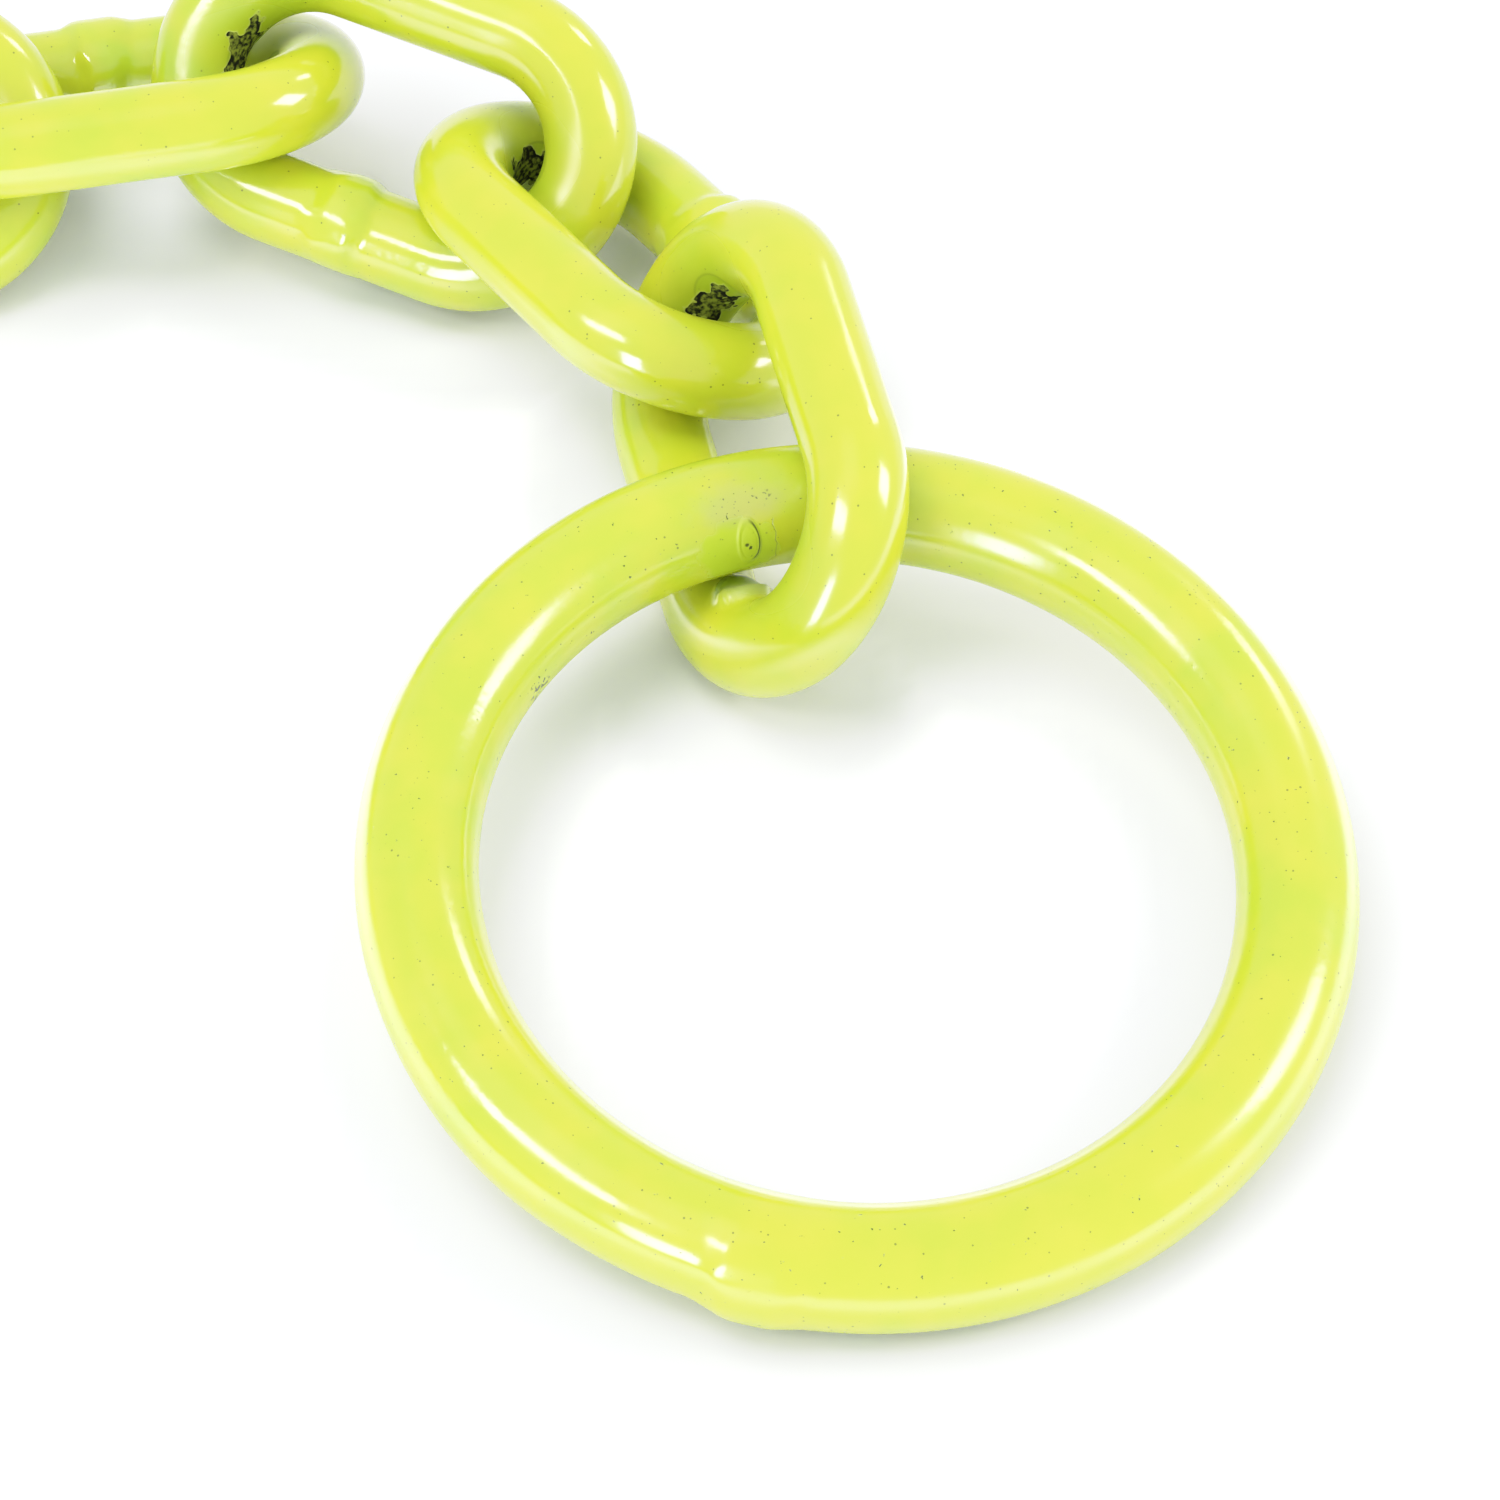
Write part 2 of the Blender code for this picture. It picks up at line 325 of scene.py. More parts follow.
def ring_tree():
    """The bar of the ring: in the ring's own frame the weld lies on +X and +Z is up."""
    tree, sizes = geometry_tree("ring_wire", {
        "Middle Radius": "Float", "Wire Radius": "Float", "Path Steps": "Int", "Section Sides": "Int",
        "Coat Wave": "Float", "Weld Swell": "Float", "Weld Inset": "Float", "Seed": "Float",
        "Scar Place": "Vector", "Scar Out": "Vector", "Nick Place": "Vector", "Paint": "Material"})
    path = add(tree, "GeometryNodeCurvePrimitiveCircle",
               {"Resolution": sizes["Path Steps"], "Radius": sizes["Middle Radius"]})
    wire, here, middle, outward = swept_wire(tree, path, sizes)

    wave = add(tree, "ShaderNodeTexNoise", {"Vector": here, "W": sizes["Seed"],
                                            "Scale": per_mm(RING_WAVE_GRAIN), "Detail": 1.0},
               noise_dimensions="4D")
    wave = add(tree, "ShaderNodeMath", {0: wave, 1: 0.5}, operation="SUBTRACT")
    height = add(tree, "ShaderNodeMath", {0: wave, 1: sizes["Coat Wave"]}, operation="MULTIPLY")

    # Distance along the bar from the weld, its edge made uneven
    along = add(tree, "ShaderNodeSeparateXYZ", {0: middle})
    turn = add(tree, "ShaderNodeMath", {0: along.outputs["Y"], 1: along.outputs["X"]}, operation="ARCTAN2")
    reach = add(tree, "ShaderNodeMath", {0: turn, 1: sizes["Middle Radius"]}, operation="MULTIPLY")
    ragged = add(tree, "ShaderNodeTexNoise", {"Vector": here, "Scale": per_mm(3), "Detail": 1.0})
    reach = add(tree, "ShaderNodeMath", {0: ragged, 1: 2.4 * MM, 2: reach}, operation="MULTIPLY_ADD")
    reach = add(tree, "ShaderNodeMath", {0: reach, 1: 1.2 * MM}, operation="SUBTRACT")

    # The collar of the weld rises sharply on one side and sinks slowly on the other, mostly on the
    # outer side of the bar: the inner side was dressed flush
    rise = add(tree, "ShaderNodeMapRange", {"Value": reach, "From Min": -4.0 * MM, "From Max": -1.4 * MM},
               interpolation_type="SMOOTHSTEP")
    fall = add(tree, "ShaderNodeMapRange", {"Value": reach, "From Min": 5 * MM, "From Max": 1.2 * MM},
               interpolation_type="SMOOTHSTEP")
    collar = add(tree, "ShaderNodeMath", {0: rise, 1: fall}, operation="MULTIPLY")
    radial = add(tree, "ShaderNodeVectorMath", {0: middle}, operation="NORMALIZE")
    outer = add(tree, "ShaderNodeVectorMath", {0: outward, 1: radial}, operation="DOT_PRODUCT")
    outer = add(tree, "ShaderNodeMapRange", {"Value": outer.outputs["Value"], "From Min": -0.8,
                                             "From Max": 0.4, "To Min": 0.1, "To Max": 1.0},
                interpolation_type="SMOOTHSTEP")
    collar = add(tree, "ShaderNodeMath", {0: collar, 1: outer}, operation="MULTIPLY")
    height = add(tree, "ShaderNodeMath", {0: collar, 1: sizes["Weld Swell"], 2: height},
                 operation="MULTIPLY_ADD")

    # Before the weld the bar end is a little flat on its outer lower side
    flat_side = add(tree, "ShaderNodeVectorMath", {0: radial, 1: (0, 0, -0.75)}, operation="ADD")
    facing = add(tree, "ShaderNodeVectorMath", {0: outward, 1: flat_side}, operation="DOT_PRODUCT")
    facing = add(tree, "ShaderNodeMapRange", {"Value": facing.outputs["Value"], "From Min": 0.1,
                                              "From Max": 1.1}, interpolation_type="SMOOTHSTEP")
    before = add(tree, "ShaderNodeMapRange", {"Value": reach, "From Min": -22 * MM, "From Max": -7 * MM},
                 interpolation_type="SMOOTHSTEP")
    ended = add(tree, "ShaderNodeMapRange", {"Value": reach, "From Min": -0.6 * MM, "From Max": -3.0 * MM},
                interpolation_type="SMOOTHSTEP")
    inset = add(tree, "ShaderNodeMath", {0: before, 1: ended}, operation="MULTIPLY")
    inset = add(tree, "ShaderNodeMath", {0: inset, 1: facing}, operation="MULTIPLY")
    inset = add(tree, "ShaderNodeMath", {0: inset, 1: sizes["Weld Inset"]}, operation="MULTIPLY")
    height = add(tree, "ShaderNodeMath", {0: height, 1: inset}, operation="SUBTRACT")

    # Place on the bar from the middle of the scar, in millimetres: along, across and out
    off = add(tree, "ShaderNodeVectorMath", {0: here, 1: sizes["Scar Place"]}, operation="SUBTRACT")
    tangent = add(tree, "ShaderNodeVectorMath", {0: (0, 0, 1), 1: sizes["Scar Place"]},
                  operation="CROSS_PRODUCT")
    tangent = add(tree, "ShaderNodeVectorMath", {0: tangent}, operation="NORMALIZE")
    across = add(tree, "ShaderNodeVectorMath", {0: sizes["Scar Out"], 1: tangent}, operation="CROSS_PRODUCT")
    parts = [add(tree, "ShaderNodeVectorMath", {0: off, 1: axis}, operation="DOT_PRODUCT").outputs["Value"]
             for axis in (tangent, across, sizes["Scar Out"])]
    scar = add(tree, "ShaderNodeCombineXYZ", {0: parts[0], 1: parts[1], 2: parts[2]})
    scar = add(tree, "ShaderNodeVectorMath", {0: scar, "Scale": 1 / MM}, operation="SCALE")
    oval = add(tree, "ShaderNodeVectorMath", {0: scar, 1: BLISTER_OVAL}, operation="MULTIPLY")
    oval = add(tree, "ShaderNodeVectorMath", {0: oval}, operation="LENGTH")
    blister = add(tree, "ShaderNodeMapRange", {"Value": oval.outputs["Value"], "From Min": 1.15,
                                               "From Max": 0.75, "To Max": BLISTER_HEIGHT},
                  interpolation_type="SMOOTHSTEP")
    height = add(tree, "ShaderNodeMath", {0: height, 1: blister}, operation="ADD")
    nick = add(tree, "ShaderNodeVectorMath", {0: here, 1: sizes["Nick Place"]}, operation="SUBTRACT")
    nick = add(tree, "ShaderNodeVectorMath", {0: nick, "Scale": 1 / MM}, operation="SCALE")
    coat_and_close(tree, wire, outward, height,
                   {"scar": ("FLOAT_VECTOR", scar), "nick": ("FLOAT_VECTOR", nick)}, sizes["Paint"])
    return tree


ring_axes, ring_middle = main_axes(cad_points("end_ring"))
ring_up = ring_axes[2] if ring_axes[2].z > 0 else -ring_axes[2]


def ring_direction(side):
    """The direction in the ring's own plane that points to this side of the floor plan."""
    flat = Vector((math.cos(side), math.sin(side), 0))
    return (flat - ring_up * flat.dot(ring_up)).normalized()


weld_direction = ring_direction(RING_WELD_SIDE)
ring_place = place_matrix(weld_direction, ring_up.cross(weld_direction), ring_up, ring_middle)
ring_to_own = ring_place.to_3x3().transposed()
scar_side = ring_to_own @ ring_direction(RING_SCAR_SIDE)
scar_out = scar_side * math.cos(RING_SCAR_RISE) * -1 + Vector((0, 0, math.sin(RING_SCAR_RISE)))
ring_paint = lime_powder_coat("ring_lime_powder_coat", RING_ROUGHNESS, ring_wear)
end_ring = made_piece("dressed_end_ring", ring_tree(), {
    "Middle Radius": RING_MIDDLE_RADIUS, "Wire Radius": RING_WIRE_RADIUS,
    "Path Steps": RING_PATH_STEPS, "Section Sides": RING_SECTION_SIDES,
    "Coat Wave": COAT_WAVE, "Weld Swell": RING_WELD_SWELL, "Weld Inset": RING_WELD_INSET, "Seed": RING_SEED,
    "Scar Place": scar_side * RING_MIDDLE_RADIUS + scar_out * RING_WIRE_RADIUS,
    "Scar Out": scar_out, "Paint": ring_paint,
    "Nick Place": ring_to_own @ ring_direction(RING_NICK_SIDE) * (RING_MIDDLE_RADIUS - RING_WIRE_RADIUS)},
    ring_place)
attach(end_ring, "root")
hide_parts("end_ring")


# Links
# Each link is one piece of round steel wire, bent to two half-round bows and butt welded in the middle of
# the side that lies low. Where the next link sat while the coat was baked, the coat is dull and torn, and
# round that seat its colour is darkened with painted shade.
LINK_WIRE_RADIUS = 4.0 * MM
LINK_BOW_RADIUS = 10.25 * MM
LINK_HALF_SIDE = 7.75 * MM
LINK_PATH_STEP = 0.36 * MM
LINK_BOW_STEPS = 24
LINK_SECTION_SIDES = 64
LINK_WAVE_GRAIN = 9
LINK_WELD_SWELL = 0.55 * MM
LINK_WELD_SHIFT = -1.0 * MM
LINK_SEED_STEP = 1.7
LINK_ROUGHNESS = 0.15
PRINT_GREEN = "#9AB426"
PAINTED_SHADE_OLIVE = "#8FA31E"
PRINT_EDGE_OLIVE = "#6C7E1E"
BARE_STEEL = "#14170A"
SCRATCHED_STEEL = "#808A34"
CHIP_LIP_PALE = "#B8C068"
FILM_OLIVE = "#76961C"
FILM_LIP_PALE = "#C9CA90"
FILM_HEIGHT = 1.0 * MM

# The print of the next link, in millimetres, and a distance that takes a mark off the wire
PRINT_RADIUS = 2.7
PRINT_EDGE_RADIUS = 2.5
PRINT_DEPTH = 0.12 * MM
FAR_OFF = 50.0


def link_tree():
    """The wire of a link: in its own frame +X is the end nearer the ring and +Y the welded low side."""
    tree, sizes = geometry_tree("link_wire", {
        "Half Side": "Float", "Bow Radius": "Float", "Wire Radius": "Float", "Path Step": "Float",
        "Bow Steps": "Int", "Section Sides": "Int", "Coat Wave": "Float", "Weld Swell": "Float",
        "Weld Shift": "Float", "Weld Side": "Vector", "Seed": "Float", "Upper Face": "Float",
        "Print Place": "Vector", "Chip Place": "Vector", "Chip Size": "Float", "Film Place": "Vector",
        "Film Height": "Float", "Paint": "Material"})
    reach = add(tree, "ShaderNodeMath", {0: sizes["Half Side"], 1: sizes["Bow Radius"]}, operation="ADD")
    length = add(tree, "ShaderNodeMath", {0: reach, 1: 2.0}, operation="MULTIPLY")
    width = add(tree, "ShaderNodeMath", {0: sizes["Bow Radius"], 1: 2.0}, operation="MULTIPLY")
    path = add(tree, "GeometryNodeCurvePrimitiveQuadrilateral", {"Width": length, "Height": width})
    path = add(tree, "GeometryNodeFilletCurve", {"Curve": path, "Radius": sizes["Bow Radius"],
                                                 "Limit Radius": True, "Count": sizes["Bow Steps"]},
               mode="POLY")
    path = add(tree, "GeometryNodeResampleCurve", {"Curve": path, "Length": sizes["Path Step"]},
               mode="LENGTH")
    wire, here, middle, outward = swept_wire(tree, path, sizes)

    wave = add(tree, "ShaderNodeTexNoise", {"Vector": here, "W": sizes["Seed"],
                                            "Scale": per_mm(LINK_WAVE_GRAIN), "Detail": 1.0},
               noise_dimensions="4D")
    wave = add(tree, "ShaderNodeMath", {0: wave, 1: 0.5}, operation="SUBTRACT")
    height = add(tree, "ShaderNodeMath", {0: wave, 1: sizes["Coat Wave"]}, operation="MULTIPLY")

    # The weld's collar on the +Y side: an uneven ridge that stands up more on one side of the wire
    along = add(tree, "ShaderNodeSeparateXYZ", {0: middle})
    ragged = add(tree, "ShaderNodeTexNoise", {"Vector": here, "W": sizes["Seed"], "Scale": per_mm(4.5),
                                              "Detail": 1.0}, noise_dimensions="4D")
    off = add(tree, "ShaderNodeMath", {0: along.outputs["X"], 1: sizes["Weld Shift"]}, operation="SUBTRACT")
    off = add(tree, "ShaderNodeMath", {0: ragged, 1: 5 * MM, 2: off}, operation="MULTIPLY_ADD")
    off = add(tree, "ShaderNodeMath", {0: off, 1: 2.5 * MM}, operation="SUBTRACT")
    off = add(tree, "ShaderNodeMath", {0: off}, operation="ABSOLUTE")
    collar = add(tree, "ShaderNodeMapRange", {"Value": off, "From Min": 2.9 * MM, "From Max": 0.7 * MM},
                 interpolation_type="SMOOTHSTEP")
    low_side = add(tree, "ShaderNodeMath", {0: along.outputs["Y"], 1: 0.0}, operation="GREATER_THAN")
    collar = add(tree, "ShaderNodeMath", {0: collar, 1: low_side}, operation="MULTIPLY")
    lean = add(tree, "ShaderNodeVectorMath", {0: outward, 1: sizes["Weld Side"]}, operation="DOT_PRODUCT")
    lean = add(tree, "ShaderNodeMapRange", {"Value": lean.outputs["Value"], "From Min": -0.6,
                                            "From Max": 0.7, "To Min": 0.15, "To Max": 1.0},
               interpolation_type="SMOOTHSTEP")
    collar = add(tree, "ShaderNodeMath", {0: collar, 1: lean}, operation="MULTIPLY")
    height = add(tree, "ShaderNodeMath", {0: collar, 1: sizes["Weld Swell"], 2: height},
                 operation="MULTIPLY_ADD")

    # Place from the nearer seat on the inside of the bow, in millimetres: in, sideways and up
    point = add(tree, "ShaderNodeSeparateXYZ", {0: here})
    bow_inside = add(tree, "ShaderNodeMath", {0: reach, 1: sizes["Wire Radius"]}, operation="SUBTRACT")
    inward = add(tree, "ShaderNodeMath", {0: point.outputs["X"]}, operation="ABSOLUTE")
    inward = add(tree, "ShaderNodeMath", {0: inward, 1: bow_inside}, operation="SUBTRACT")
    up = add(tree, "ShaderNodeMath", {0: point.outputs["Z"], 1: sizes["Upper Face"]}, operation="MULTIPLY")
    seat = add(tree, "ShaderNodeCombineXYZ", {0: inward, 1: point.outputs["Y"], 2: up})
    seat = add(tree, "ShaderNodeVectorMath", {0: seat, "Scale": 1 / MM}, operation="SCALE")
    print_place = add(tree, "ShaderNodeVectorMath", {0: seat, 1: sizes["Print Place"]}, operation="SUBTRACT")
    print_size = add(tree, "ShaderNodeVectorMath", {0: print_place}, operation="LENGTH")
    inside = add(tree, "ShaderNodeMapRange", {"Value": print_size.outputs["Value"],
                                              "From Min": PRINT_RADIUS, "From Max": 2.0,
                                              "To Max": -PRINT_DEPTH},
                 interpolation_type="SMOOTHSTEP")
    height = add(tree, "ShaderNodeMath", {0: height, 1: inside}, operation="ADD")

    # The chip is at the far end only, and the torn film at the near end only
    off_end = {}
    for end, compare in (("near", "GREATER_THAN"), ("far", "LESS_THAN")):
        there = add(tree, "ShaderNodeMath", {0: point.outputs["X"], 1: 0.0}, operation=compare)
        away = add(tree, "ShaderNodeMath", {0: there, 1: FAR_OFF}, operation="MULTIPLY")
        off_end[end] = add(tree, "ShaderNodeCombineXYZ", {0: away})
    chip = add(tree, "ShaderNodeVectorMath", {0: seat, 1: sizes["Chip Place"]}, operation="SUBTRACT")
    chip = add(tree, "ShaderNodeVectorMath", {0: chip, 1: off_end["near"]}, operation="ADD")
    shrink = add(tree, "ShaderNodeMath", {0: 1.0, 1: sizes["Chip Size"]}, operation="DIVIDE")
    chip = add(tree, "ShaderNodeVectorMath", {0: chip, "Scale": shrink}, operation="SCALE")
    film = add(tree, "ShaderNodeVectorMath", {0: seat, 1: sizes["Film Place"]}, operation="SUBTRACT")
    film = add(tree, "ShaderNodeVectorMath", {0: film, 1: off_end["far"]}, operation="ADD")
    film_size = add(tree, "ShaderNodeVectorMath", {0: film}, operation="LENGTH").outputs["Value"]
    film_size = add(tree, "ShaderNodeMath", {0: ragged, 1: 1.2, 2: film_size}, operation="MULTIPLY_ADD")
    lip_side = add(tree, "ShaderNodeVectorMath", {0: film, 1: (0.9, -0.4, 0.1)}, operation="DOT_PRODUCT")
    lip_side = add(tree, "ShaderNodeMapRange", {"Value": lip_side.outputs["Value"], "From Min": -0.2,
                                                "From Max": 0.9}, interpolation_type="SMOOTHSTEP")
    outer_edge = add(tree, "ShaderNodeMapRange", {"Value": film_size, "From Min": 3.2, "From Max": 2.5},
                     interpolation_type="SMOOTHSTEP")
    inner_edge = add(tree, "ShaderNodeMapRange", {"Value": film_size, "From Min": 1.6, "From Max": 2.3},
                     interpolation_type="SMOOTHSTEP")
    lip = add(tree, "ShaderNodeMath", {0: outer_edge, 1: inner_edge}, operation="MULTIPLY")
    lip = add(tree, "ShaderNodeMath", {0: lip, 1: lip_side}, operation="MULTIPLY")
    web = add(tree, "ShaderNodeMapRange", {"Value": film_size, "From Min": 3.4, "From Max": 1.4},
              interpolation_type="SMOOTHSTEP")
    web = add(tree, "ShaderNodeMath", {0: lip, 1: 0.5, 2: web}, operation="MULTIPLY_ADD")
    height = add(tree, "ShaderNodeMath", {0: web, 1: sizes["Film Height"], 2: height},
                 operation="MULTIPLY_ADD")
    film_marks = add(tree, "ShaderNodeCombineXYZ", {0: film_size, 1: lip})
    coat_and_close(tree, wire, outward, height, {
        "print": ("FLOAT_VECTOR", print_place), "chip": ("FLOAT_VECTOR", chip),
        "film": ("FLOAT_VECTOR", film_marks)}, sizes["Paint"])
    return tree


def link_wear(tree, place, colour, rough, relief):
    """The print of the next link in each bow, dull from rubbing and darkened round it with painted shade,
    and the coat torn there in a chip or a film.
    """
    seat = add(tree, "ShaderNodeAttribute", attribute_name="print").outputs["Vector"]
    print_size = add(tree, "ShaderNodeVectorMath", {0: seat}, operation="LENGTH").outputs["Value"]
    inside = add(tree, "ShaderNodeMapRange", {"Value": print_size, "From Min": PRINT_RADIUS,
                                              "From Max": 2.2, "To Max": 0.6},
                 interpolation_type="SMOOTHSTEP")
    colour = add(tree, "ShaderNodeMix", {0: inside, 6: colour, 7: linear(PRINT_GREEN)}, data_type="RGBA")
    # Painted shade: round the seat the coat is made a darker olive, and it is also duller
    dull_and_painted_shade = add(tree, "ShaderNodeMapRange", {"Value": print_size, "From Min": 7.5, "From Max": 3.5},
                 interpolation_type="SMOOTHSTEP")
    rough = add(tree, "ShaderNodeMath", {0: dull_and_painted_shade, 1: 0.3, 2: rough}, operation="MULTIPLY_ADD")
    dull_and_painted_shade = add(tree, "ShaderNodeMath", {0: dull_and_painted_shade, 1: 0.5}, operation="MULTIPLY")
    colour = add(tree, "ShaderNodeMix", {0: dull_and_painted_shade, 6: colour, 7: linear(PAINTED_SHADE_OLIVE)}, data_type="RGBA")
    rim = add(tree, "ShaderNodeMath", {0: print_size, 1: PRINT_EDGE_RADIUS}, operation="SUBTRACT")
    rim = add(tree, "ShaderNodeMath", {0: rim}, operation="ABSOLUTE")
    rim = add(tree, "ShaderNodeMapRange", {"Value": rim, "From Min": 0.16, "From Max": 0.04, "To Max": 0.4})
    colour = add(tree, "ShaderNodeMix", {0: rim, 6: colour, 7: linear(PRINT_EDGE_OLIVE)}, data_type="RGBA")

    # The chip is a ragged star: olive crumbs of torn coat on the steel, dark in places along its edge
    chip = add(tree, "ShaderNodeAttribute", attribute_name="chip").outputs["Vector"]
    parts = add(tree, "ShaderNodeSeparateXYZ", {0: chip})
    bearing = add(tree, "ShaderNodeMath", {0: parts.outputs["Z"], 1: parts.outputs["Y"]},
                  operation="ARCTAN2")
    points = add(tree, "ShaderNodeMath", {0: bearing, 1: 6.0}, operation="MULTIPLY")
    points = add(tree, "ShaderNodeMath", {0: points}, operation="COSINE")
    ragged = add(tree, "ShaderNodeTexNoise", {"Vector": place, "Scale": per_mm(1.1), "Detail": 1.6})
    reach = add(tree, "ShaderNodeVectorMath", {0: chip, 1: (1.0, 0.75, 1.1)}, operation="MULTIPLY")
    reach = add(tree, "ShaderNodeVectorMath", {0: reach}, operation="LENGTH").outputs["Value"]
    reach = add(tree, "ShaderNodeMath", {0: points, 1: 0.3, 2: reach}, operation="MULTIPLY_ADD")
    reach = add(tree, "ShaderNodeMath", {0: ragged, 1: 2.8, 2: reach}, operation="MULTIPLY_ADD")
    torn = add(tree, "ShaderNodeMapRange", {"Value": reach, "From Min": 2.95, "From Max": 2.88})
    edge = add(tree, "ShaderNodeMapRange", {"Value": reach, "From Min": 2.2, "From Max": 2.5})
    crumbs = add(tree, "ShaderNodeTexNoise", {"Vector": place, "Scale": per_mm(0.4), "Detail": 3.0})
    crumbs = add(tree, "ShaderNodeMapRange", {"Value": crumbs, "From Min": 0.4, "From Max": 0.62})
    bare = add(tree, "ShaderNodeMix", {0: crumbs, 6: linear(BARE_STEEL), 7: linear(SCRATCHED_STEEL)},
               data_type="RGBA")
    burnt = add(tree, "ShaderNodeTexNoise", {"Vector": place, "Scale": per_mm(1.3), "Detail": 2.0})
    burnt = add(tree, "ShaderNodeMapRange", {"Value": burnt, "From Min": 0.46, "From Max": 0.56})
    burnt = add(tree, "ShaderNodeMath", {0: burnt, 1: edge}, operation="MULTIPLY")
    bare = add(tree, "ShaderNodeMix", {0: burnt, 6: bare, 7: linear(BARE_STEEL)}, data_type="RGBA")
    lip = add(tree, "ShaderNodeMapRange", {"Value": reach, "From Min": 3.2, "From Max": 2.95,
                                           "To Max": 0.5})
    colour = add(tree, "ShaderNodeMix", {0: lip, 6: colour, 7: linear(CHIP_LIP_PALE)}, data_type="RGBA")
    colour = add(tree, "ShaderNodeMix", {0: torn, 6: colour, 7: bare}, data_type="RGBA")
    rough = add(tree, "ShaderNodeMath", {0: torn, 1: 0.45, 2: rough}, operation="MULTIPLY_ADD")
    relief = add(tree, "ShaderNodeMath", {0: lip, 1: 0.08, 2: relief}, operation="MULTIPLY_ADD")
    relief = add(tree, "ShaderNodeMath", {0: torn, 1: -0.12, 2: relief}, operation="MULTIPLY_ADD")

    # The film between two wires was torn when they were parted: olive inside, with a pale lip
    film = add(tree, "ShaderNodeAttribute", attribute_name="film").outputs["Vector"]
    film = add(tree, "ShaderNodeSeparateXYZ", {0: film})
    thin = add(tree, "ShaderNodeMapRange", {"Value": film.outputs["X"], "From Min": 3.0, "From Max": 2.7,
                                            "To Max": 0.75})
    colour = add(tree, "ShaderNodeMix", {0: thin, 6: colour, 7: linear(FILM_OLIVE)}, data_type="RGBA")
    pale = add(tree, "ShaderNodeMath", {0: film.outputs["Y"], 1: 0.4}, operation="MULTIPLY")
    colour = add(tree, "ShaderNodeMix", {0: pale, 6: colour, 7: linear(FILM_LIP_PALE)}, data_type="RGBA")
    rough = add(tree, "ShaderNodeMath", {0: thin, 1: 0.25, 2: rough}, operation="MULTIPLY_ADD")
    return colour, rough, relief


# Chips and film where they show, in millimetres from the seat: into the bow, sideways and up. The chips on
# link_02 and link_03 are made large to cover the shaded gap by the next link: partly bare steel, partly
# painted shade.
CHIPS_AND_PAINTED_GAP_SHADE = {"link_01": ((0.1, -1.1, 0.6), 1.15), "link_02": ((0.1, -1.0, 0.1), 1.3),
         "link_03": ((0.1, -1.3, 0.9), 1.3)}
HIDDEN_CHIP = ((0.4, -1.5, 1.7), 0.7)
PRINT_PLACES = {"link_01": (-0.4, -2.6, 0.9)}
FILM_PLACES = {"link_01": (-2.8, 5.7, 0.9)}
NO_FILM_PLACE = (0.0, 0.0, 40.0)

link_paint = lime_powder_coat("link_lime_powder_coat", LINK_ROUGHNESS, link_wear)
wire_of_link = link_tree()
nearer_middle = ring_middle
link_nodes = sorted(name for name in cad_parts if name.startswith("link_"))
for number, node in enumerate(link_nodes, start=1):
    axes, link_middle = main_axes(cad_points(node))
    x_axis = axes[0] if axes[0].dot(nearer_middle - link_middle) > 0 else -axes[0]
    y_axis = axes[1] if axes[1].z < 0 else -axes[1]
    z_axis = x_axis.cross(y_axis)
    upper_face = math.copysign(1.0, z_axis.z)
    chip_place, chip_size = CHIPS_AND_PAINTED_GAP_SHADE.get(node, HIDDEN_CHIP)
    link = made_piece("dressed_" + node, wire_of_link, {
        "Half Side": LINK_HALF_SIDE, "Bow Radius": LINK_BOW_RADIUS, "Wire Radius": LINK_WIRE_RADIUS,
        "Path Step": LINK_PATH_STEP, "Bow Steps": LINK_BOW_STEPS, "Section Sides": LINK_SECTION_SIDES,
        "Coat Wave": COAT_WAVE, "Weld Swell": LINK_WELD_SWELL, "Weld Shift": LINK_WELD_SHIFT,
        "Weld Side": (0.0, -0.5, 0.85 * upper_face), "Seed": LINK_SEED_STEP * number,
        "Upper Face": upper_face,
        "Print Place": PRINT_PLACES.get(node, (0.0, 0.0, 0.0)),
        "Chip Place": chip_place, "Chip Size": chip_size,
        "Film Place": FILM_PLACES.get(node, NO_FILM_PLACE), "Film Height": FILM_HEIGHT,
        "Paint": link_paint},
        place_matrix(x_axis, y_axis, z_axis, link_middle))
    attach(link, "root")
    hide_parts(node)
    nearer_middle = link_middle


# Floor, light and camera
# A plain white sheet under soft studio light: a white surround, a soft box overhead, a warm strip and a cool
# window from the left, and two smaller soft boxes from the right and the back. The sheet itself glows before
# the chain, which is painted light, and the glow fades out close to the steel, which is painted shade. The
# camera looks down at the ring.
FLOOR_HALF_WIDTH = 3.0
FINE_CELL = 2 * MM
FINE_CELLS = 82
PAINTED_SHADE_WITHIN = 7 * MM
PAINTED_GLOW_BEYOND = 26 * MM
PAINTED_GLOW_BEFORE = 80 * MM
PAINTED_GLOW_ENDS_BEHIND = 105 * MM
SHEET_WHITE = "#E4E5EC"
SHEET_PAINTED_GLOW = 3.0
steel_points = []
steel_faces = []
for cad_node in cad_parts.values():
    first = len(steel_points)
    steel_points += [vertex.co.copy() for vertex in cad_node.data.vertices]
    steel_faces += [[first + index for index in face.vertices] for face in cad_node.data.polygons]
steel = BVHTree.FromPolygons(steel_points, steel_faces)
grid_lines = [step * FINE_CELL for step in range(-FINE_CELLS, FINE_CELLS + 1)]
grid_lines = [-FLOOR_HALF_WIDTH, *grid_lines, FLOOR_HALF_WIDTH]
row = len(grid_lines)
floor_points = [Vector((x, y, 0)) for y in grid_lines for x in grid_lines]
corners = [y * row + x for y in range(row - 1) for x in range(row - 1)]
floor_mesh = bpy.data.meshes.new("floor")
floor_mesh.from_pydata(floor_points, [], [(corner, corner + 1, corner + 1 + row, corner + row)
                                          for corner in corners])


def eased(value, dark, bright):
    """Nought at the dark end and one at the bright end, with a smooth change between them."""
    part = min(max((value - dark) / (bright - dark), 0), 1)
    return part * part * (3 - 2 * part)
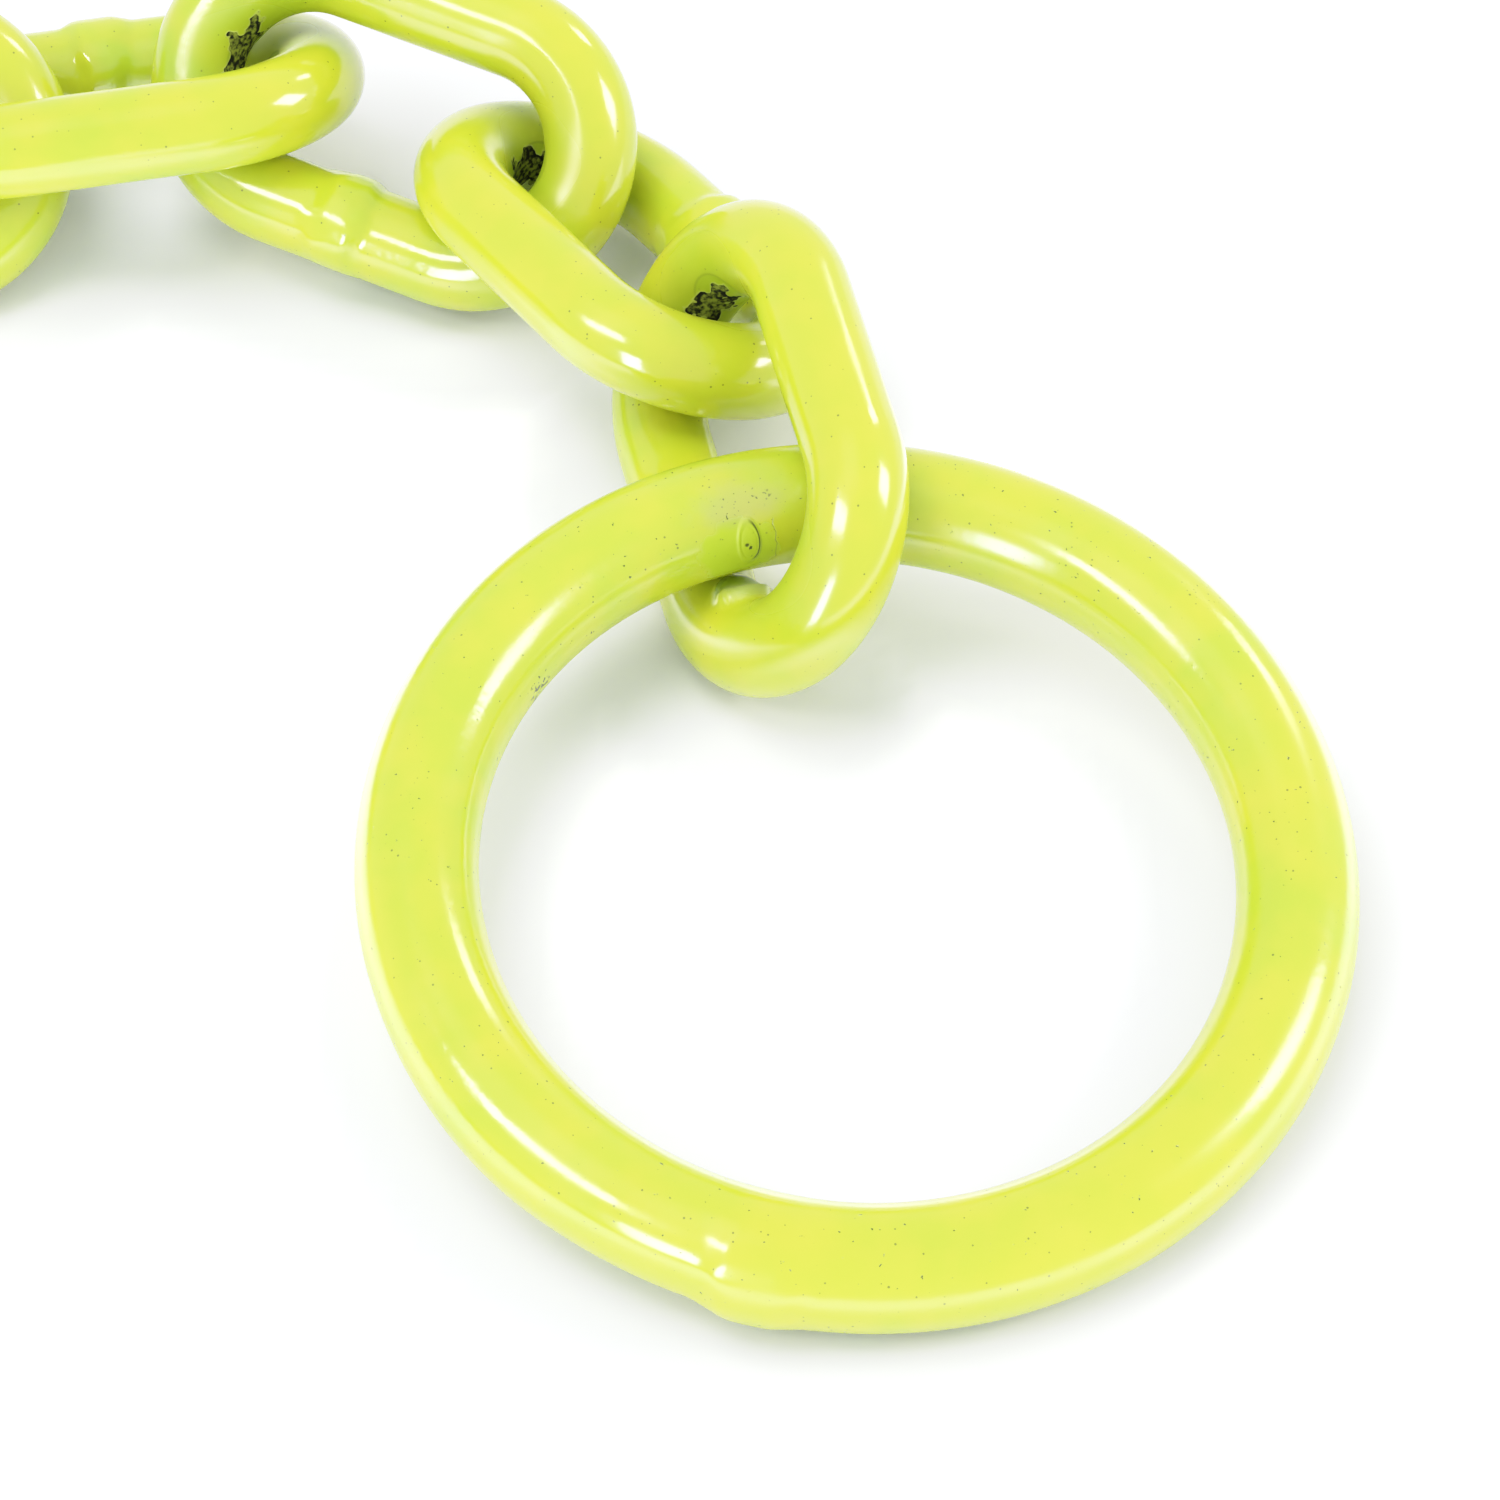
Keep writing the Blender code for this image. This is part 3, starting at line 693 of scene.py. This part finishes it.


# Painted light: the sheet glows in full away from the steel and before the chain; the glow fades out near
# the steel, a painted shade round it, and behind the chain
painted_glow_amount = [eased(steel.find_nearest(point)[3], PAINTED_SHADE_WITHIN, PAINTED_GLOW_BEYOND)
            * eased(point.y, PAINTED_GLOW_ENDS_BEHIND, PAINTED_GLOW_BEFORE) for point in floor_points]
floor_mesh.attributes.new("painted_glow_mask", "FLOAT", "POINT").data.foreach_set("value", painted_glow_amount)
floor = bpy.data.objects.new("floor", floor_mesh)
bpy.context.scene.collection.objects.link(floor)
sheet = bpy.data.materials.new("white_sheet")
sheet.use_nodes = True
sheet_tree = sheet.node_tree
sheet_tree.nodes.clear()
# The painted glow is emission in the sheet, which is no lamp
glow = add(sheet_tree, "ShaderNodeAttribute", attribute_name="painted_glow_mask").outputs["Fac"]
glow = add(sheet_tree, "ShaderNodeMath", {0: glow, 1: SHEET_PAINTED_GLOW}, operation="MULTIPLY")
paper = add(sheet_tree, "ShaderNodeBsdfPrincipled", {
    "Base Color": linear(SHEET_WHITE), "Roughness": 0.9, "Specular IOR Level": 0.1,
    "Emission Color": linear("#FFFFFF"), "Emission Strength": glow})
add(sheet_tree, "ShaderNodeOutputMaterial", {"Surface": paper})
floor_mesh.materials.append(sheet)

SURROUND_WHITE = "#F6F9FF"
SURROUND_BRIGHTNESS = 1.2
surround = bpy.data.worlds.new("white_surround")
surround.use_nodes = True
surround.node_tree.nodes["Background"].inputs["Color"].default_value = linear(SURROUND_WHITE)
surround.node_tree.nodes["Background"].inputs["Strength"].default_value = SURROUND_BRIGHTNESS
bpy.context.scene.world = surround

# The photograph's tone curve: straight up to the middle tones, then a soft shoulder up to white
WHITE_LEVEL = 1.45
SHOULDER = ((0.5, 0.5), (0.9, 0.8), (1.25, 0.93))
view = bpy.context.scene.view_settings
view.view_transform = "Standard"
view.use_curve_mapping = True
tones = view.curve_mapping
tones.use_clip = False
tones.white_level = (WHITE_LEVEL, WHITE_LEVEL, WHITE_LEVEL)
tone_curve = tones.curves[3]
for light, tone in SHOULDER:
    tone_curve.points.new(light / WHITE_LEVEL, tone)
tones.update()

# The camera's place, from the ring: it looks at a floor point beside and beyond the ring's middle
CAMERA_AIM_FROM_RING = Vector((-8.27, 17.83, 0)) * MM
CAMERA_ELEVATION = math.radians(51.86)
CAMERA_DISTANCE = 342.3 * MM
CAMERA_LENS = 102.5
aim = Vector((ring_middle.x, ring_middle.y, 0)) + CAMERA_AIM_FROM_RING
camera_back = Vector((0, -math.cos(CAMERA_ELEVATION), math.sin(CAMERA_ELEVATION)))
camera_data = bpy.data.cameras.new("camera")
camera_data.lens = CAMERA_LENS
camera_data.sensor_width = 36.0
camera_data.clip_start = 0.01
camera = bpy.data.objects.new("camera", camera_data)
camera.location = aim + camera_back * CAMERA_DISTANCE
camera.rotation_euler = (-camera_back).to_track_quat("-Z", "Y").to_euler()
bpy.context.scene.collection.objects.link(camera)
bpy.context.scene.camera = camera

LIGHT_DISTANCE = 1.4


def add_lamp(name, place, turn, size, colour, brightness, use):
    """A rectangular lamp that either makes its mirror image on the paint or gives soft light."""
    data = bpy.data.lights.new(f"{name}_{use}", "AREA")
    data.shape = "RECTANGLE"
    data.size, data.size_y = size
    data.color = linear(colour)[:3]
    data.energy = brightness * math.pi * data.size * data.size_y
    lamp = bpy.data.objects.new(f"{name}_{use}", data)
    lamp.location = place
    lamp.rotation_euler = turn.to_euler()
    lamp.visible_diffuse = use == "fill"
    lamp.visible_glossy = use == "shine"
    lamp.visible_camera = False
    bpy.context.scene.collection.objects.link(lamp)


def soft_box(name, side, elevation, width, height, roll, colour, shine, fill):
    """Up to two lamps in one place; the angles are degrees, and side 0 is the camera's own side."""
    side, elevation = math.radians(side), math.radians(elevation)
    toward = Vector((math.sin(side) * math.cos(elevation), -math.cos(side) * math.cos(elevation),
                     math.sin(elevation)))
    turn = toward.to_track_quat("Z", "Y") @ Matrix.Rotation(math.radians(roll), 3, "Z").to_quaternion()
    size = [2 * LIGHT_DISTANCE * math.tan(math.radians(angle / 2)) for angle in (width, height)]
    for use, brightness in (("shine", shine), ("fill", fill)):
        if brightness:
            add_lamp(name, aim + toward * LIGHT_DISTANCE, turn, size, colour, brightness, use)


soft_box("warm_strip", side=-60, elevation=48.5, width=27, height=10.5, roll=30,
         colour="#FFFBF0", shine=28, fill=8)
soft_box("cool_window", side=-28.5, elevation=15, width=13, height=25, roll=0,
         colour="#EAF8FF", shine=28, fill=6)
soft_box("right_box", side=91, elevation=34, width=17, height=20, roll=0,
         colour="#FFFAF0", shine=24, fill=12)
soft_box("back_box", side=139, elevation=31, width=8, height=13, roll=0,
         colour="#FFF6D8", shine=20, fill=18)
soft_box("overhead_box", side=-95, elevation=74, width=30, height=30, roll=0,
         colour="#FFFFFF", shine=0, fill=7.3)
